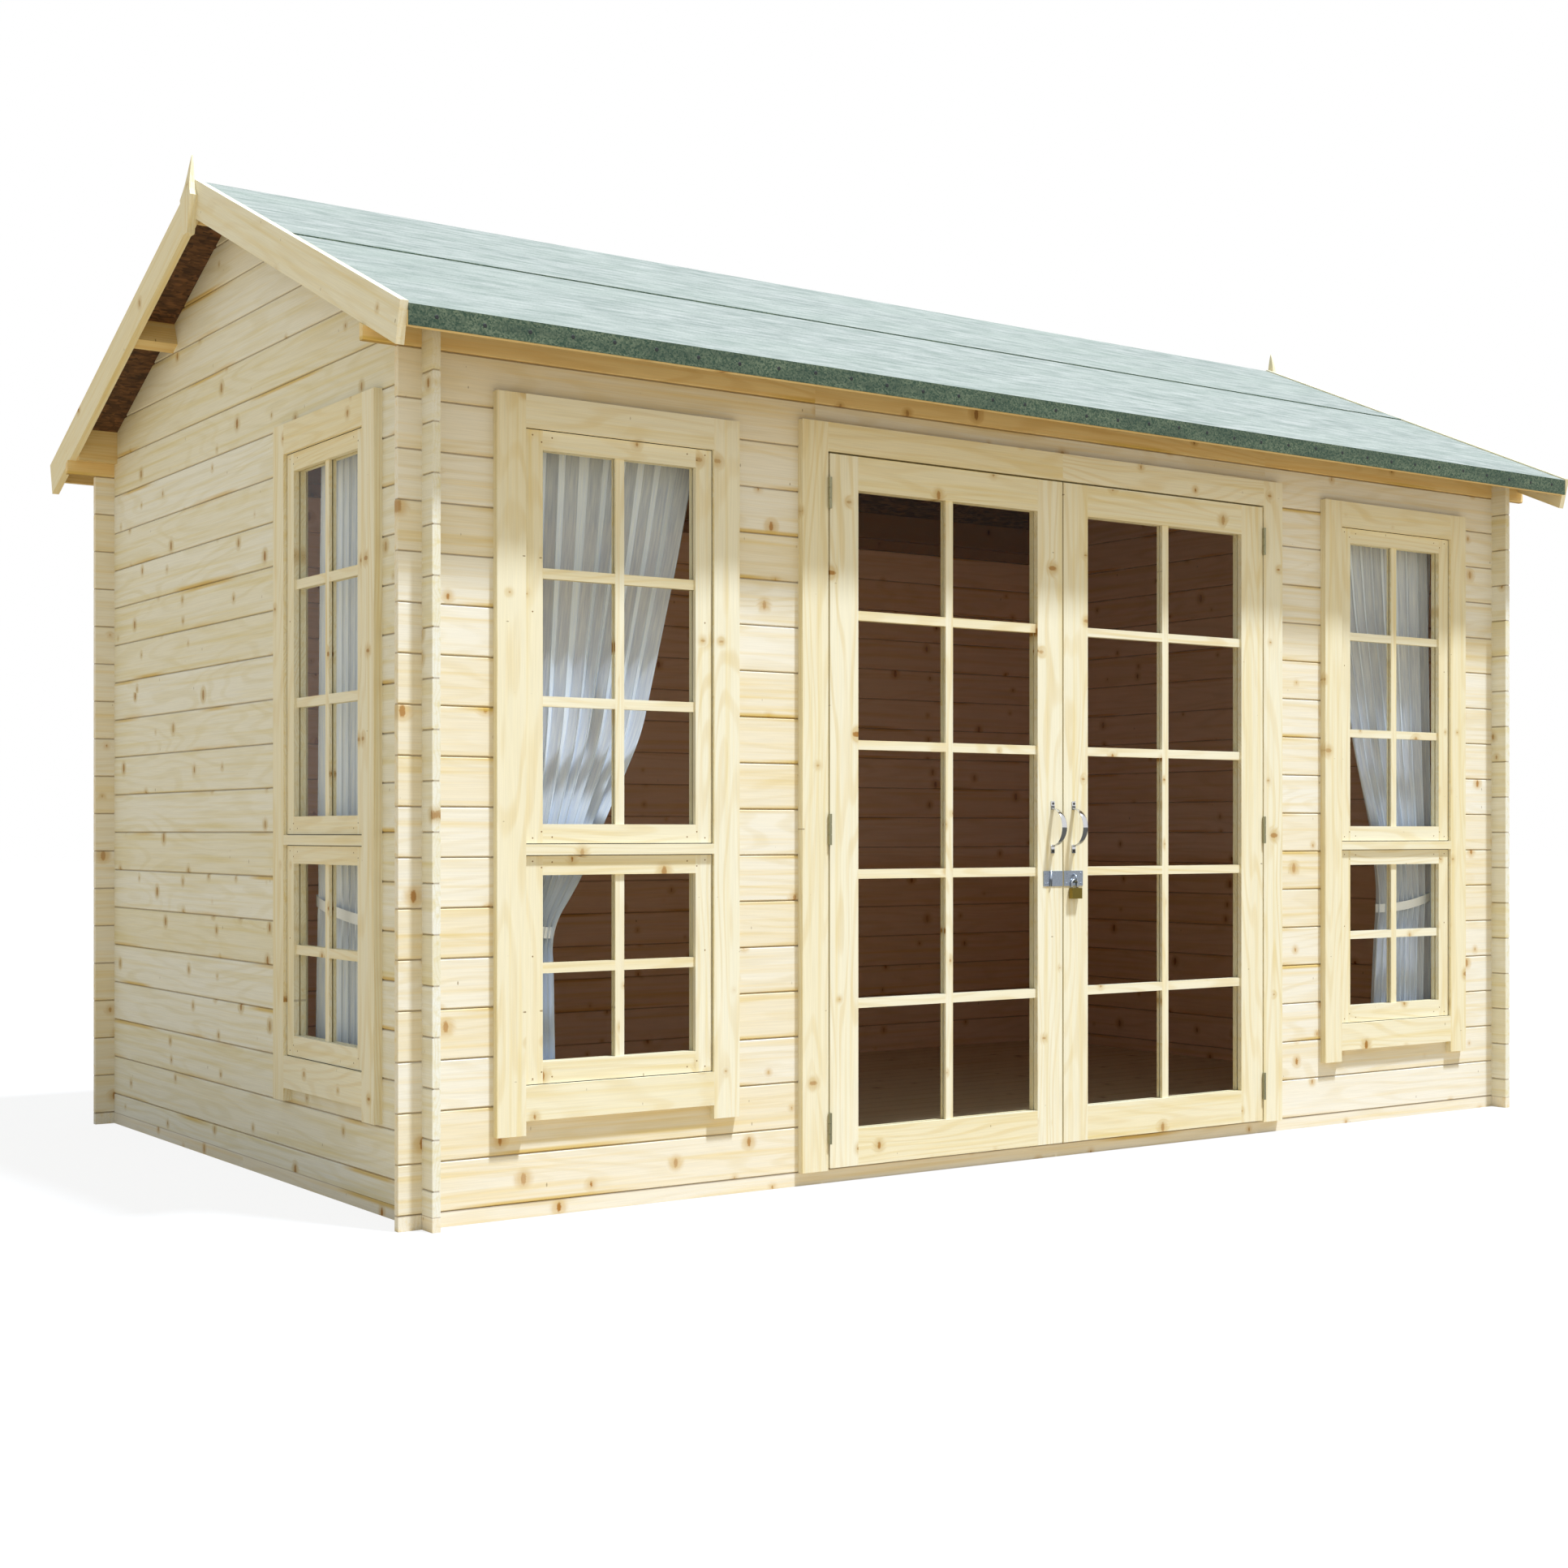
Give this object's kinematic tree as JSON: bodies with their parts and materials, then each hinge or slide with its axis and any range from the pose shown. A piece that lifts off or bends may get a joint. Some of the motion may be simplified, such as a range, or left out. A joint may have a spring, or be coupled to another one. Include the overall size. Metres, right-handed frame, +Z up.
{
  "type": "log cabin",
  "caption": "Garden log cabin with interlocking log walls, a felted gable roof, glazed double doors and tall casement windows.",
  "frame": {"origin": "on the ground under the middle of the plan", "axes": "+X right along the front wall, +Y from the front to the back, +Z up"},
  "size_m": [3.878, 2.574, 2.5659],
  "materials": {
    "log_timber": "planed, unfinished spruce",
    "joinery_timber": "planed, unfinished spruce",
    "barge_timber": "planed, unfinished spruce",
    "roof_timber": "planed, unfinished spruce, warmer in tone",
    "bearer_timber": "planed, unfinished spruce",
    "floor_timber": "planed spruce",
    "strand_board": "pressed strand board",
    "roofing_felt": "bitumen felt with mineral grit",
    "window_glass": "clear float glass",
    "handle_chrome": "polished chrome plate",
    "zinc_plate": "zinc-plated steel",
    "lock_brass": "dull cast brass",
    "hinge_steel": "dull steel",
    "curtain_cloth": "sheer woven polyester",
    "curtain_rod_enamel": "white enamel on steel tube"
  },
  "bodies": {
    "cabin": {"base_frame": "bearer_timber", "floor_boards": "floor_timber", "front_wall_left": "log_timber", "front_wall_right": "log_timber", "front_wall_over_door": "log_timber", "back_wall": "log_timber", "left_wall": "log_timber", "right_wall": "log_timber", "left_gable": "log_timber", "right_gable": "log_timber", "wall_plates": "roof_timber", "eaves_purlins": "roof_timber", "ridge_purlin": "roof_timber", "middle_purlins": "roof_timber", "roof_boards_front": "strand_board", "roof_boards_back": "strand_board", "eaves_battens": "roof_timber", "felt_front": "roofing_felt", "felt_back": "roofing_felt", "felt_ridge": "roofing_felt", "bargeboard_left_front": "barge_timber", "bargeboard_left_back": "barge_timber", "bargeboard_right_front": "barge_timber", "bargeboard_right_back": "barge_timber", "finials": "barge_timber", "door_frame": "joinery_timber", "door_trim": "joinery_timber", "frame_hinges": "hinge_steel", "window_frames": "joinery_timber", "left_window_trim": "joinery_timber", "right_window_trim": "joinery_timber", "side_window_trim": "joinery_timber", "left_window_sashes": "joinery_timber", "right_window_sashes": "joinery_timber", "side_window_sashes": "joinery_timber", "window_glass": "window_glass", "left_curtain": "curtain_cloth", "right_curtain": "curtain_cloth", "side_curtain": "curtain_cloth", "curtain_rods": "curtain_rod_enamel"},
    "left_leaf": {"left_door": "joinery_timber", "left_door_glass": "window_glass", "left_handle": "handle_chrome", "hasp_plate": "zinc_plate", "left_door_hinges": "hinge_steel"},
    "right_leaf": {"right_door": "joinery_timber", "right_door_glass": "window_glass", "right_handle": "handle_chrome", "hasp_staple": "zinc_plate", "padlock": "lock_brass", "right_door_hinges": "hinge_steel"}
  },
  "joints": [
    {"name": "left_door_swing", "type": "hinge", "parent": "cabin", "child": "left_leaf", "pos_m": [-0.7445, -1.1298, 0.9], "axis": [0, 0, -1], "range_deg": [0, 165]},
    {"name": "right_door_swing", "type": "hinge", "parent": "cabin", "child": "right_leaf", "pos_m": [0.7445, -1.1298, 0.9], "axis": [0, 0, 1], "range_deg": [0, 165]}
  ]
}
